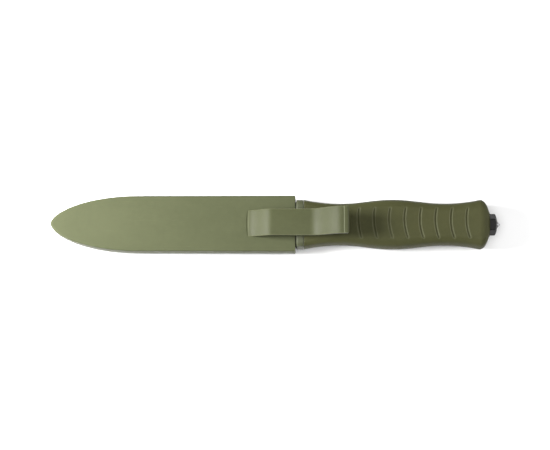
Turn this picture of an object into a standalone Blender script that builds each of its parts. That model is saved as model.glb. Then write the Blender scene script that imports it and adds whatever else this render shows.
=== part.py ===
"""Sheathed hand digger: a dished digging blade with a rubber grip, in a moulded sheath with a belt clip.

Metres, +Z up. X runs from the sheath's tip towards the pommel, Y across the width, Z through the
thickness with the belt clip on top. The origin lies on the sheath's flat back, under the clip's root.
"""
import math

import bpy
import bmesh
from mathutils import Matrix, Vector

MM = 0.001
GAP = 0.3 * MM                      # clearance between touching pieces

# Sheath
SHEATH_LENGTH = 158.6 * MM
SHEATH_WIDTH = 36.1 * MM
SHEATH_MOUTH_WIDTH = 36.7 * MM
SHEATH_THICKNESS = 14.0 * MM
SHEATH_WALL = 2.0 * MM
SHEATH_SIDE_WALL = 1.8 * MM
SHEATH_RIM = 1.3 * MM               # rounding of the faces' edges
SHEATH_NOSE = 56.4 * MM             # length of the tapering nose
NOSE_FULLNESS = 2.01                # exponents of the nose's outline
NOSE_POINT = 0.586
MOUTH_X = 27.0 * MM
DRAIN_RADIUS = 1.5 * MM
DRAIN_INSET = 16.0 * MM             # from the tip to the drain hole

# Throat insert, retention spring and its rivets
INSERT_DEPTH = 12.0 * MM
INSERT_WALL = 0.9 * MM
SPRING_LENGTH = 42.0 * MM
SPRING_WIDTH = 11.0 * MM
SPRING_THICKNESS = 0.6 * MM
SPRING_FOOT = 8.0 * MM
SPRING_INSET = 16.0 * MM            # from the mouth to the spring's free end
SPRING_RIVET_SPREAD = 3.4 * MM
SPRING_RIVET_RADIUS = 0.9 * MM
SPRING_RIVET_HEAD = 1.7 * MM
SPRING_RIVET_DEPTH = 1.2 * MM       # how far the rivets sink into the back shell's wall

# Belt clip
CLIP_WIDTH = 17.3 * MM
CLIP_THICKNESS = 2.8 * MM
CLIP_ROOT_THICKNESS = 0.8 * MM
CLIP_HEIGHT = 7.6 * MM              # outer face above the sheath's face
CLIP_ROOT = 30.4 * MM               # from the mouth back to the clip's root
CLIP_RISE = 15.2 * MM
CLIP_FLAT_END = 9.1 * MM            # past the mouth, where the flare starts
CLIP_FLARE = 21.0 * MM
CLIP_FLARE_HEIGHT = 12.0 * MM
CLIP_LIP = 3.9 * MM

# Blade and tang
BLADE_TIP_ROOM = 6.6 * MM           # from the blade's point to the sheath's tip
BLADE_SIDE_ROOM = 0.25 * MM         # from the blade's edges to the throat insert
BLADE_NOSE_ROOM = 2.4 * MM          # how much shorter the blade's nose is than the sheath's
BLADE_THICKNESS = 2.5 * MM
BLADE_EDGE = 0.3                    # edge thickness as a share of the middle's
BLADE_DISH = 2.6 * MM
RICASSO = 3.0 * MM                  # flat stretch in front of the collar
DISH_RUNOUT = 12.0 * MM
TOOTH_PITCH = 5.0 * MM
TOOTH_DEPTH = 1.6 * MM
TOOTH_COUNT = 13
TOOTH_START = 22.0 * MM             # from the mouth to the first saw tooth
TANG_WIDTH = 16.0 * MM
TANG_THICKNESS = 3.0 * MM
TANG_TAIL_WIDTH = 6.0 * MM
TANG_TAIL_LENGTH = 20.0 * MM

# Collar and grip
COLLAR_GAP = 0.65 * MM              # from the sheath's mouth to the collar
COLLAR_LENGTH = 4.5 * MM
GRIP_END = 126.4 * MM               # all grip stations are measured from the mouth
GRIP_NECK = 29.2 * MM
GRIP_BELLY = 62.4 * MM
GRIP_WAIST = 96.5 * MM
GRIP_FLARE = 119.3 * MM
HALF_WIDTHS = (15.9 * MM, 13.37 * MM, 16.05 * MM, 13.5 * MM, 15.97 * MM)
HALF_DEPTHS = (9.0 * MM, 8.7 * MM, 10.4 * MM, 9.2 * MM, 10.8 * MM)
HALF_FLATS = (12.6 * MM, 9.4 * MM, 10.9 * MM, 8.6 * MM, 10.6 * MM)     # of the flat front and back
FACET_SHARE = 0.5                   # how much of each side the sloping facet takes
FACET_SLOPE = 0.55
DOME_POWER = 2.2
RUBBER = 3.0 * MM
GROOVE_COUNT = 8
GROOVE_PITCH = 10.0 * MM
GROOVE_FIRST = 40.4 * MM            # leftmost point of the first groove, from the mouth
GROOVE_WIDTH = 1.1 * MM
GROOVE_DEPTH = 0.9 * MM
GROOVE_RADIUS = 33.0 * MM
GROOVE_REACH = 9.8 * MM             # half the length of a groove across the grip
GROOVE_TILT = math.radians(4.0)

# Pommel: stud, washers, nut and carbide point
STUD_RADIUS = 4.0 * MM
STUD_LENGTH = 29.0 * MM
STUD_SLOT = 10.0 * MM
STUD_END = 3.2 * MM                 # from the nut's outer face back to the stud's end
WASHER_RADIUS = 8.0 * MM
WASHER_THICKNESS = 1.2 * MM
SPRING_WASHER_RADIUS = 6.9 * MM
SPRING_WASHER_THICKNESS = 1.6 * MM
NUT_FLATS = 12.4 * MM
NUT_LENGTH = 8.4 * MM
NUT_PROUD = 4.2 * MM                # how far the nut stands out of the grip
NUT_DOME = 2.5 * MM                 # length of the rounded end, and the flat left at its middle
NUT_DOME_FLAT = 2.9 * MM
NUT_TURN = math.radians(6.0)
POINT_RADIUS = 2.1 * MM
POINT_LENGTH = 1.8 * MM
POINT_SHANK = 1.5 * MM

# Derived places
SHEATH_TIP = MOUTH_X - SHEATH_LENGTH
AXIS_Z = SHEATH_THICKNESS / 2
BLADE_LENGTH = SHEATH_LENGTH - BLADE_TIP_ROOM
BLADE_WIDTH = SHEATH_WIDTH - 2 * (SHEATH_SIDE_WALL + GAP + INSERT_WALL + BLADE_SIDE_ROOM)
BLADE_NOSE = SHEATH_NOSE - BLADE_NOSE_ROOM
COLLAR_X = MOUTH_X + COLLAR_GAP
GRIP_X = COLLAR_X + COLLAR_LENGTH + GAP
NUT_END = MOUTH_X + GRIP_END + NUT_PROUD
NUT_START = NUT_END - NUT_LENGTH
SPRING_WASHER_X = NUT_START - GAP - SPRING_WASHER_THICKNESS
WASHER_X = SPRING_WASHER_X - GAP - WASHER_THICKNESS
CORE_END = WASHER_X - GAP
STUD_X = NUT_END - STUD_END - STUD_LENGTH
TAIL_END = STUD_X + STUD_SLOT - GAP
BORE = STUD_RADIUS + GAP

SHAPE_STEPS = 14
RING_QUARTER = (0.3, 0.55, 0.8)     # places along each rounded corner of the grip


def smooth(value):
    """Ease from 0 to 1."""
    value = min(max(value, 0.0), 1.0)
    return value * value * (3 - 2 * value)


def clear_scene():
    for scene_object in list(bpy.data.objects):
        bpy.data.objects.remove(scene_object)


def collection(name):
    made = bpy.data.collections.new(name)
    bpy.context.scene.collection.children.link(made)
    return made


def finish_material(name, colour, roughness, metallic=0.0):
    made = bpy.data.materials.new(name)
    made.use_nodes = True
    shader = made.node_tree.nodes["Principled BSDF"]
    shader.inputs["Base Color"].default_value = (*colour, 1.0)
    shader.inputs["Roughness"].default_value = roughness
    shader.inputs["Metallic"].default_value = metallic
    return made


def mesh_object(name, shape, into):
    """Turn a bmesh into an object with outward faces."""
    bmesh.ops.recalc_face_normals(shape, faces=shape.faces)
    mesh = bpy.data.meshes.new(name)
    shape.to_mesh(mesh)
    shape.free()
    made = bpy.data.objects.new(name, mesh)
    into.objects.link(made)
    mesh.shade_smooth()
    mesh.set_sharp_from_angle(angle=math.radians(30))
    if into is CUTTERS:
        made.hide_render = True
        made.display_type = "WIRE"
    return made


def baked(source, name, into, weld=1e-6):
    """Replace a curve or modified object by the mesh it evaluates to."""
    bpy.context.view_layer.update()
    evaluated = source.evaluated_get(bpy.context.evaluated_depsgraph_get())
    mesh = bpy.data.meshes.new_from_object(evaluated)
    shape = bmesh.new()
    shape.from_mesh(mesh)
    bmesh.ops.transform(shape, matrix=source.matrix_world, verts=shape.verts)
    bmesh.ops.remove_doubles(shape, verts=shape.verts, dist=weld)
    bpy.data.meshes.remove(mesh)
    bpy.data.objects.remove(source)
    return mesh_object(name, shape, into)


def plate(name, outline, low, high, into, across=False):
    """A flat outline with a thickness, lying in XY, or standing in XZ when across is set."""
    curve = bpy.data.curves.new(name, "CURVE")
    curve.dimensions = "2D"
    curve.fill_mode = "BOTH"
    curve.extrude = (high - low) / 2
    spline = curve.splines.new("POLY")
    spline.points.add(len(outline) - 1)
    for point, (first, second) in zip(spline.points, outline):
        point.co = (first, second, 0, 1)
    spline.use_cyclic_u = True
    made = bpy.data.objects.new(name + "_outline", curve)
    into.objects.link(made)
    if across:
        made.rotation_euler = (math.pi / 2, 0, 0)
        made.location = (0, (low + high) / 2, 0)
    else:
        made.location = (0, 0, (low + high) / 2)
    return baked(made, name, into)


def round_rim(target, height, radius, segments=3):
    """Round the edges of a plate that lie at one height."""
    shape = bmesh.new()
    shape.from_mesh(target.data)
    bmesh.ops.dissolve_limit(shape, angle_limit=math.radians(0.5), verts=shape.verts, edges=shape.edges)
    rim = [edge for edge in shape.edges
           if all(abs(vert.co.z - height) < 1e-6 for vert in edge.verts)]
    bmesh.ops.bevel(shape, geom=rim, offset=radius, segments=segments, profile=0.5, affect="EDGES")
    shape.to_mesh(target.data)
    shape.free()


def box(name, low, high, into):
    shape = bmesh.new()
    bmesh.ops.create_cube(shape, size=1.0)
    low, high = Vector(low), Vector(high)
    sizes = high - low
    matrix = Matrix.Translation((low + high) / 2) @ Matrix.Diagonal((*sizes, 1.0))
    bmesh.ops.transform(shape, matrix=matrix, verts=shape.verts)
    return mesh_object(name, shape, into)


def rod(name, radius, start, end, into, along="X", centre=(0.0, 0.0), segments=32, turn=0.0):
    """A cylinder or prism along X, or along Z when along says so."""
    shape = bmesh.new()
    middle = (start + end) / 2
    if along == "X":
        place = Matrix.Translation((middle, centre[0], centre[1])) @ Matrix.Rotation(math.pi / 2, 4, "Y")
    else:
        place = Matrix.Translation((centre[0], centre[1], middle))
    bmesh.ops.create_cone(shape, cap_ends=True, segments=segments, radius1=radius, radius2=radius,
                          depth=end - start, matrix=place @ Matrix.Rotation(turn, 4, "Z"))
    return mesh_object(name, shape, into)


def turned(name, profile, into, steps=28, upright_at=None):
    """A profile of (radius, place) pairs turned about the tool's axis, or about a vertical line."""
    mesh = bpy.data.meshes.new(name + "_profile")
    edges = [(index, index + 1) for index in range(len(profile) - 1)]
    if profile[0][0] > 0:
        edges.append((len(profile) - 1, 0))
    mesh.from_pydata([(radius, 0, place) for radius, place in profile], edges, [])
    made = bpy.data.objects.new(name + "_profile", mesh)
    into.objects.link(made)
    screw = made.modifiers.new("turn", "SCREW")
    screw.axis = "Z"
    screw.steps = screw.render_steps = steps
    screw.use_merge_vertices = True
    screw.merge_threshold = 1e-6
    if upright_at:
        made.location = (*upright_at, 0)
    else:
        made.rotation_euler = (0, math.pi / 2, 0)
        made.location = (0, 0, AXIS_Z)
    return baked(made, name, into)


def loft(name, rings, into):
    """A closed skin through rings that all have the same number of points."""
    shape = bmesh.new()
    rows = [[shape.verts.new(point) for point in ring] for ring in rings]
    count = len(rings[0])
    for near, far in zip(rows, rows[1:]):
        for index in range(count):
            after = (index + 1) % count
            shape.faces.new((near[index], near[after], far[after], far[index]))
    shape.faces.new(list(reversed(rows[0])))
    shape.faces.new(rows[-1])
    return mesh_object(name, shape, into)


def cut(target, *cutters):
    for cutter in cutters:
        boolean = target.modifiers.new(cutter.name, "BOOLEAN")
        boolean.operation = "DIFFERENCE"
        boolean.solver = "EXACT"
        boolean.object = cutter


def finish(target, material):
    target.data.materials.clear()
    target.data.materials.append(material)
    return target


# ---------------------------------------------------------------- outlines

def nose_form(distance, half_width, nose):
    """Half width at a distance from the point of a spear-shaped outline."""
    left = 1 - min(max(distance / nose, 0.0), 1.0)
    return half_width * (1 - left ** NOSE_FULLNESS) ** NOSE_POINT


def sheath_half_width(distance):
    widening = (SHEATH_MOUTH_WIDTH - SHEATH_WIDTH) / 2 * distance / SHEATH_LENGTH
    return nose_form(distance, SHEATH_WIDTH / 2, SHEATH_NOSE) + widening


def sheath_outline(inset, end_x):
    """The sheath's outline, moved inwards, from the tip to end_x."""
    upper = []
    step = 0.05 * MM
    for index in range(1, SHAPE_STEPS + 1):
        distance = SHEATH_NOSE * (index / SHAPE_STEPS) ** 1.7
        slope = (sheath_half_width(distance + step) - sheath_half_width(distance - step)) / (2 * step)
        length = math.hypot(1.0, slope)
        upper.append((SHEATH_TIP + distance + inset * slope / length,
                      sheath_half_width(distance) - inset / length))
    upper = [point for point in upper if point[1] > 0.5 * MM]
    upper.append((end_x, sheath_half_width(end_x - SHEATH_TIP) - inset))
    lower = [(x, -y) for x, y in reversed(upper)]
    return [(SHEATH_TIP + inset, 0.0)] + upper + lower


def contour(x, stations):
    """The grip's outline at x from the mouth: collar, neck, belly, waist and flare values."""
    collar, neck, belly, waist, flare = stations
    if x < GRIP_NECK:
        return neck + (collar - neck) * ((GRIP_NECK - x) / (GRIP_NECK - COLLAR_GAP - COLLAR_LENGTH)) ** 2
    if x < GRIP_BELLY:
        share = (x - GRIP_NECK) / (GRIP_BELLY - GRIP_NECK)
        return neck + (belly - neck) * (1 - math.cos(math.pi * share)) / 2
    if x < GRIP_WAIST:
        share = (x - GRIP_BELLY) / (GRIP_WAIST - GRIP_BELLY)
        return belly + (waist - belly) * (1 - math.cos(math.pi * share)) / 2
    return waist + (flare - waist) * min((x - GRIP_WAIST) / (GRIP_FLARE - GRIP_WAIST), 1.0) ** 2


def grip_ring(x, inset=0.0, dome=1.0):
    """One section of the grip: flat front and back, sloping facets and rounded sides."""
    half_width = (contour(x, HALF_WIDTHS) - inset) * dome
    half_depth = (contour(x, HALF_DEPTHS) - inset) * (dome if dome == 1.0 else dome ** 0.5)
    flat = min(contour(x, HALF_FLATS) * dome, half_width - 1.6 * MM * dome)
    facet = flat + (half_width - flat) * FACET_SHARE
    facet_z = half_depth - (facet - flat) * FACET_SLOPE
    knee_z = facet_z - (half_width - facet) * FACET_SLOPE
    quarter = [(flat * 0.5, half_depth), (flat, half_depth), (facet, facet_z)]
    for share in RING_QUARTER:
        rest = 1 - share
        quarter.append((rest * rest * facet + 2 * rest * share * half_width + share * share * half_width,
                        rest * rest * facet_z + 2 * rest * share * knee_z))
    quarter.append((half_width, 0.0))
    top = [(-y, z) for y, z in reversed(quarter)] + [(0.0, half_depth)] + quarter
    bottom = [(y, -z) for y, z in reversed(top[1:-1])]
    return [(MOUTH_X + x, y, AXIS_Z + z) for y, z in top + bottom]


def grip_stations(start, end, step):
    count = max(2, round((end - start) / step))
    return [start + (end - start) * index / count for index in range(count + 1)]


# ---------------------------------------------------------------- sheath

def make_shell(name, low, high, face, nylon):
    """Half of the sheath: a rounded plate hollowed out from the joint side."""
    shell = plate(name, sheath_outline(0.0, MOUTH_X), low, high, PART)
    round_rim(shell, face, SHEATH_RIM)
    inside_low = SHEATH_WALL if face == low else low - MM
    inside_high = high + MM if face == low else SHEATH_THICKNESS - SHEATH_WALL
    hollow = plate(name + "_hollow", sheath_outline(SHEATH_SIDE_WALL, MOUTH_X + 2 * MM),
                   inside_low, inside_high, CUTTERS)
    cut(shell, hollow)
    return finish(shell, nylon)


def make_sheath():
    nylon = finish_material("sheath_nylon", (0.17, 0.19, 0.105), 0.5)
    steel = finish_material("spring_steel", (0.55, 0.55, 0.56), 0.35, 1.0)
    rivet_brass = finish_material("rivet_brass", (0.62, 0.5, 0.28), 0.35, 1.0)
    throat = finish_material("throat_nylon", (0.03, 0.032, 0.025), 0.5)

    back = make_shell("sheath_back_shell", 0.0, AXIS_Z - GAP / 2, 0.0, nylon)
    make_shell("sheath_front_shell", AXIS_Z + GAP / 2, SHEATH_THICKNESS, SHEATH_THICKNESS, nylon)
    cut(back, rod("drain", DRAIN_RADIUS, -MM, SHEATH_WALL + MM, CUTTERS, along="Z",
                  centre=(SHEATH_TIP + DRAIN_INSET, 0.0), segments=20))

    insert_start = MOUTH_X - INSERT_DEPTH
    outer = SHEATH_SIDE_WALL + GAP
    inner = outer + INSERT_WALL
    edge = 2 * MM

    def throat_outline(inset, start, end):
        half = SHEATH_MOUTH_WIDTH / 2 - inset
        narrow = sheath_half_width(start - SHEATH_TIP) - inset
        return [(start, -narrow), (end, -half), (end, half), (start, narrow)]

    insert = plate("throat_insert", throat_outline(outer, insert_start, MOUTH_X),
                   SHEATH_WALL + GAP, SHEATH_THICKNESS - SHEATH_WALL - GAP, PART)
    passage = plate("throat_passage", throat_outline(inner, insert_start - edge, MOUTH_X + edge),
                    SHEATH_WALL + GAP + INSERT_WALL,
                    SHEATH_THICKNESS - SHEATH_WALL - GAP - INSERT_WALL, CUTTERS)
    cut(insert, passage)
    finish(insert, throat)

    # The leaf spring: a riveted foot, a rising arm that bears on the blade, a tip turned down.
    end = MOUTH_X - SPRING_INSET
    start = end - SPRING_LENGTH
    floor = SHEATH_WALL + GAP
    blade_back = AXIS_Z - BLADE_DISH / 2 - BLADE_THICKNESS / 2
    crest = blade_back - GAP - SPRING_THICKNESS
    lower = [(start, floor), (start + SPRING_FOOT, floor)]
    arm_start, crest_x = start + SPRING_FOOT, end - 7 * MM
    for index in range(1, 7):
        share = index / 6
        lower.append((arm_start + (crest_x - arm_start) * share, floor + (crest - floor) * smooth(share)))
    for index in range(1, 4):
        share = index / 3
        lower.append((crest_x + (end - crest_x) * share, crest - 0.4 * MM * share * share))
    upper = [(x, z + SPRING_THICKNESS) for x, z in reversed(lower)]
    spring = plate("retention_spring", lower + upper, -SPRING_WIDTH / 2, SPRING_WIDTH / 2, PART, across=True)
    rivet_x = start + SPRING_FOOT / 2
    for side, sign in (("left", 1), ("right", -1)):
        centre = (rivet_x, sign * SPRING_RIVET_SPREAD)
        cut(spring, rod("spring_hole_" + side, SPRING_RIVET_RADIUS + GAP, floor - MM,
                        floor + SPRING_THICKNESS + MM, CUTTERS, along="Z", centre=centre, segments=16))
        cut(back, rod("shell_hole_" + side, SPRING_RIVET_RADIUS + GAP, SHEATH_WALL - SPRING_RIVET_DEPTH,
                      SHEATH_WALL + MM, CUTTERS, along="Z", centre=centre, segments=16))
        head_low = floor + SPRING_THICKNESS + GAP
        rivet = make_rivet("retention_rivet_" + side, centre,
                           SHEATH_WALL - SPRING_RIVET_DEPTH + GAP, head_low)
        finish(rivet, rivet_brass)
    finish(spring, steel)


def make_rivet(name, centre, low, head_low):
    """A rivet along Z with a domed head on top."""
    profile = [(0.0, head_low + 0.7 * MM), (SPRING_RIVET_HEAD * 0.6, head_low + 0.6 * MM),
               (SPRING_RIVET_HEAD, head_low + 0.2 * MM), (SPRING_RIVET_HEAD, head_low),
               (SPRING_RIVET_RADIUS, head_low), (SPRING_RIVET_RADIUS, low), (0.0, low)]
    return turned(name, profile, PART, steps=16, upright_at=centre)


def clip_outer(x):
    """Height of the clip's outer face above the sheath's face at x from the mouth."""
    height = CLIP_ROOT_THICKNESS + (CLIP_HEIGHT - CLIP_ROOT_THICKNESS) * smooth((x + CLIP_ROOT) / CLIP_RISE)
    return height + CLIP_FLARE_HEIGHT * smooth((x - CLIP_FLAT_END) / CLIP_FLARE)


def make_clip():
    """The spring tongue that rises out of the sheath's face and flares at its free end."""
    nylon = finish_material("clip_nylon", (0.17, 0.19, 0.105), 0.5)
    tip = CLIP_FLAT_END + CLIP_FLARE + CLIP_LIP
    places = [-CLIP_ROOT + CLIP_RISE * index / 8 for index in range(9)]
    places += [(-CLIP_ROOT + CLIP_RISE + CLIP_FLAT_END) / 2]
    places += [CLIP_FLAT_END + CLIP_FLARE * index / 9 for index in range(10)] + [tip]
    step = 0.1 * MM
    upper, lower = [], []
    for x in places:
        slope = (clip_outer(x + step) - clip_outer(x - step)) / (2 * step)
        length = math.hypot(1.0, slope)
        base = SHEATH_THICKNESS + GAP
        upper.append((MOUTH_X + x, base + clip_outer(x)))
        lower.append((MOUTH_X + x + CLIP_THICKNESS * slope / length,
                      max(base, base + clip_outer(x) - CLIP_THICKNESS / length)))
    lower[0] = (upper[0][0], lower[0][1])
    clip = plate("belt_clip", upper + lower[::-1], -CLIP_WIDTH / 2, CLIP_WIDTH / 2, PART, across=True)
    return finish(clip, nylon)


# ---------------------------------------------------------------- tool

def blade_section(x, left, right, dish, thickness, edge):
    """One section of the blade or tang: a dished strip, thinner towards both edges."""
    trough = AXIS_Z - BLADE_DISH / 2 * dish
    top, bottom = [], []
    for index in range(-4, 5):
        share = index / 4
        y = share * (left if share < 0 else right)
        middle = trough + BLADE_DISH * dish * (y / (BLADE_WIDTH / 2)) ** 2
        half = thickness / 2 * (1 - (1 - edge) * abs(share) ** 3)
        top.append((x, y, middle + half))
        bottom.append((x, y, middle - half))
    return top + bottom[::-1]


def make_blade():
    steel = finish_material("blade_steel", (0.42, 0.43, 0.44), 0.35, 1.0)
    point = MOUTH_X - BLADE_LENGTH
    shoulder = COLLAR_X - GAP

    def dish_at(x):
        return smooth((shoulder - RICASSO - x) / DISH_RUNOUT)

    def half_at(x):
        return nose_form(x - point, BLADE_WIDTH / 2, BLADE_NOSE)

    plain = [point + 0.4 * MM + BLADE_NOSE * (index / 12) ** 1.8 for index in range(13)]
    saw_end = MOUTH_X - TOOTH_START
    saw_start = saw_end - TOOTH_COUNT * TOOTH_PITCH
    teeth = [saw_start + TOOTH_PITCH * index / 2 for index in range(2 * TOOTH_COUNT + 1)]
    runout = [shoulder - RICASSO - DISH_RUNOUT * share for share in (1.0, 0.75, 0.5, 0.25, 0.0)]
    rings = []
    for x in [place for place in plain if place < saw_start - MM]:
        rings.append(blade_section(x, half_at(x), half_at(x), dish_at(x), BLADE_THICKNESS, BLADE_EDGE))
    for index, x in enumerate(teeth):
        bite = TOOTH_DEPTH if index % 2 else 0.0
        rings.append(blade_section(x, half_at(x), half_at(x) - bite, dish_at(x), BLADE_THICKNESS, BLADE_EDGE))
    for x in runout + [shoulder]:
        rings.append(blade_section(x, half_at(x), half_at(x), dish_at(x), BLADE_THICKNESS, BLADE_EDGE))
    tail = TANG_TAIL_WIDTH / 2
    tail_start = TAIL_END - TANG_TAIL_LENGTH
    for x, half in ((shoulder + 0.05 * MM, TANG_WIDTH / 2), (tail_start, TANG_WIDTH / 2),
                    (tail_start + 2 * MM, tail), (TAIL_END, tail)):
        rings.append(blade_section(x, half, half, 0.0, TANG_THICKNESS, 1.0))
    return finish(loft("digging_blade", rings, PART), steel)


def tang_slot(name, start, end):
    """The cutter that clears the tang."""
    return box(name, (start, -TANG_WIDTH / 2 - GAP, AXIS_Z - TANG_THICKNESS / 2 - GAP),
               (end, TANG_WIDTH / 2 + GAP, AXIS_Z + TANG_THICKNESS / 2 + GAP), CUTTERS)


def make_collar():
    nylon = finish_material("collar_nylon", (0.16, 0.17, 0.1), 0.5)
    mouth_side = [(COLLAR_X, y, z) for _, y, z in grip_ring(COLLAR_GAP + COLLAR_LENGTH)]
    grip_side = [(COLLAR_X + COLLAR_LENGTH, y, z) for _, y, z in mouth_side]
    collar = loft("guard_collar", [mouth_side, grip_side], PART)
    cut(collar, tang_slot("collar_slot", COLLAR_X - MM, COLLAR_X + COLLAR_LENGTH + MM))
    return finish(collar, nylon)


def make_core():
    nylon = finish_material("core_nylon", (0.05, 0.055, 0.04), 0.55)
    stations = grip_stations(GRIP_X - MOUTH_X, CORE_END - MOUTH_X, 8 * MM)
    core = loft("grip_core", [grip_ring(x, RUBBER) for x in stations], PART)
    slot_end = TAIL_END - TANG_TAIL_LENGTH + 2 * MM + GAP
    cut(core, tang_slot("core_slot", GRIP_X - MM, slot_end),
        rod("core_bore", BORE, slot_end - MM, CORE_END + MM, CUTTERS, centre=(0.0, AXIS_Z)))
    return finish(core, nylon)


def make_groove(shape, left_x, side):
    """Add one bent bar to the groove cutter, on the front face or the back."""
    reach = math.asin(GROOVE_REACH / GROOVE_RADIUS)
    rows = []
    for index in range(7):
        angle = reach * (index / 3 - 1)
        y = GROOVE_RADIUS * math.sin(angle)
        x = GROOVE_RADIUS * (1 - math.cos(angle)) - y * math.tan(GROOVE_TILT)
        surface = contour(left_x + x, HALF_DEPTHS)
        row = []
        for across, depth in ((-1, -MM), (1, -MM), (1, GROOVE_DEPTH), (-1, GROOVE_DEPTH)):
            row.append(shape.verts.new((MOUTH_X + left_x + x + across * GROOVE_WIDTH / 2, y,
                                        AXIS_Z + side * (surface - depth))))
        rows.append(row)
    for near, far in zip(rows, rows[1:]):
        for index in range(4):
            after = (index + 1) % 4
            shape.faces.new((near[index], near[after], far[after], far[index]))
    shape.faces.new(rows[0][::-1])
    shape.faces.new(rows[-1])


def make_sleeve():
    rubber = finish_material("grip_rubber", (0.1, 0.11, 0.055), 0.62)
    start, flare, end = GRIP_X - MOUTH_X, GRIP_FLARE, GRIP_END
    rings = [grip_ring(x) for x in grip_stations(start, flare, 4.2 * MM)]
    for share in (0.2, 0.4, 0.58, 0.74, 0.86, 0.94):
        dome = (1 - share ** DOME_POWER) ** 0.5
        rings.append(grip_ring(flare + (end - flare) * share, 0.0, dome))
    sleeve = loft("grip_sleeve", rings, PART)
    cavity = loft("sleeve_cavity", [grip_ring(x, RUBBER - GAP)
                  for x in grip_stations(start - MM, CORE_END + GAP - MOUTH_X, 8 * MM)], CUTTERS)
    recess = rod("washer_recess", WASHER_RADIUS + GAP, CORE_END - MM, SPRING_WASHER_X, CUTTERS,
                 centre=(0.0, AXIS_Z))
    nut_hole = rod("nut_hole", max(NUT_FLATS / math.sqrt(3), SPRING_WASHER_RADIUS) + 2 * GAP, CORE_END - MM,
                   NUT_END, CUTTERS, centre=(0.0, AXIS_Z))
    grooves = bmesh.new()
    for index in range(GROOVE_COUNT):
        for side in (1, -1):
            make_groove(grooves, GROOVE_FIRST + GROOVE_PITCH * index, side)
    cut(sleeve, cavity, recess, nut_hole, mesh_object("grooves", grooves, CUTTERS))
    return finish(sleeve, rubber)


def make_pommel():
    steel = finish_material("stud_steel", (0.5, 0.5, 0.5), 0.4, 1.0)
    zinc = finish_material("washer_steel", (0.6, 0.6, 0.6), 0.35, 1.0)
    black = finish_material("nut_black", (0.02, 0.02, 0.02), 0.35, 0.6)
    carbide = finish_material("carbide", (0.5, 0.5, 0.52), 0.25, 1.0)
    centre = (0.0, AXIS_Z)

    stud = rod("tang_stud", STUD_RADIUS, STUD_X, STUD_X + STUD_LENGTH, PART, centre=centre)
    slot_half = TANG_THICKNESS / 2 + GAP
    cut(stud, box("stud_slot", (STUD_X - MM, -TANG_TAIL_WIDTH, AXIS_Z - slot_half),
                  (STUD_X + STUD_SLOT, TANG_TAIL_WIDTH, AXIS_Z + slot_half), CUTTERS))
    finish(stud, steel)

    for name, radius, place, thickness in (
            ("pommel_washer", WASHER_RADIUS, WASHER_X, WASHER_THICKNESS),
            ("spring_washer", SPRING_WASHER_RADIUS, SPRING_WASHER_X, SPRING_WASHER_THICKNESS)):
        ring = turned(name, [(radius, place), (radius, place + thickness), (BORE, place + thickness),
                             (BORE, place)], PART)
        finish(ring, zinc)
        if name == "spring_washer":
            cut(ring, box("washer_split", (place - MM, 0.0, AXIS_Z - 0.5 * MM),
                          (place + thickness + MM, 2 * radius, AXIS_Z + 0.5 * MM), CUTTERS))

    corner = NUT_FLATS / math.sqrt(3)
    nut = rod("pommel_nut", corner, NUT_START, NUT_END + MM, PART, centre=centre, segments=6, turn=NUT_TURN)
    reach = corner + GAP
    depth = NUT_DOME / math.sqrt(1 - (NUT_DOME_FLAT / reach) ** 2)
    dome = [(0.0, NUT_END)]
    for index in range(6, -1, -1):
        place = NUT_DOME * index / 6
        dome.append((reach * math.sqrt(1 - (place / depth) ** 2), NUT_END - NUT_DOME + place))
    envelope = turned("nut_envelope", dome + [(reach, NUT_START - MM), (0.0, NUT_START - MM)], CUTTERS)
    rounding = nut.modifiers.new("dome", "BOOLEAN")
    rounding.operation = "INTERSECT"
    rounding.solver = "EXACT"
    rounding.object = envelope
    thread_end = NUT_END - STUD_END + GAP
    cut(nut, rod("nut_bore", BORE, NUT_START - MM, thread_end, CUTTERS, centre=centre),
        rod("point_hole", POINT_SHANK + GAP, thread_end - MM, NUT_END + MM, CUTTERS, centre=centre,
            segments=20))
    finish(nut, black)

    base = NUT_END + GAP
    profile = [(0.0, base + POINT_LENGTH), (POINT_RADIUS * 0.3, base + POINT_LENGTH * 0.85),
               (POINT_RADIUS, base), (POINT_SHANK, base), (POINT_SHANK, thread_end + GAP),
               (0.0, thread_end + GAP)]
    point = turned("breaker_point", profile, PART, steps=20)
    finish(point, carbide)


clear_scene()
PART = collection("sheathed_hand_digger")
CUTTERS = collection("cutters")
make_sheath()
make_clip()
make_blade()
make_collar()
make_core()
make_sleeve()
make_pommel()
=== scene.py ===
"""Looks of the sheathed hand digger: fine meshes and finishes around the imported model.

Metres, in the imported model's frame: X from the sheath's tip to the pommel, Y across the width, Z up
out of the face that carries the belt clip.
"""

import logging
import math
from dataclasses import dataclass, field
from enum import Enum

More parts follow.
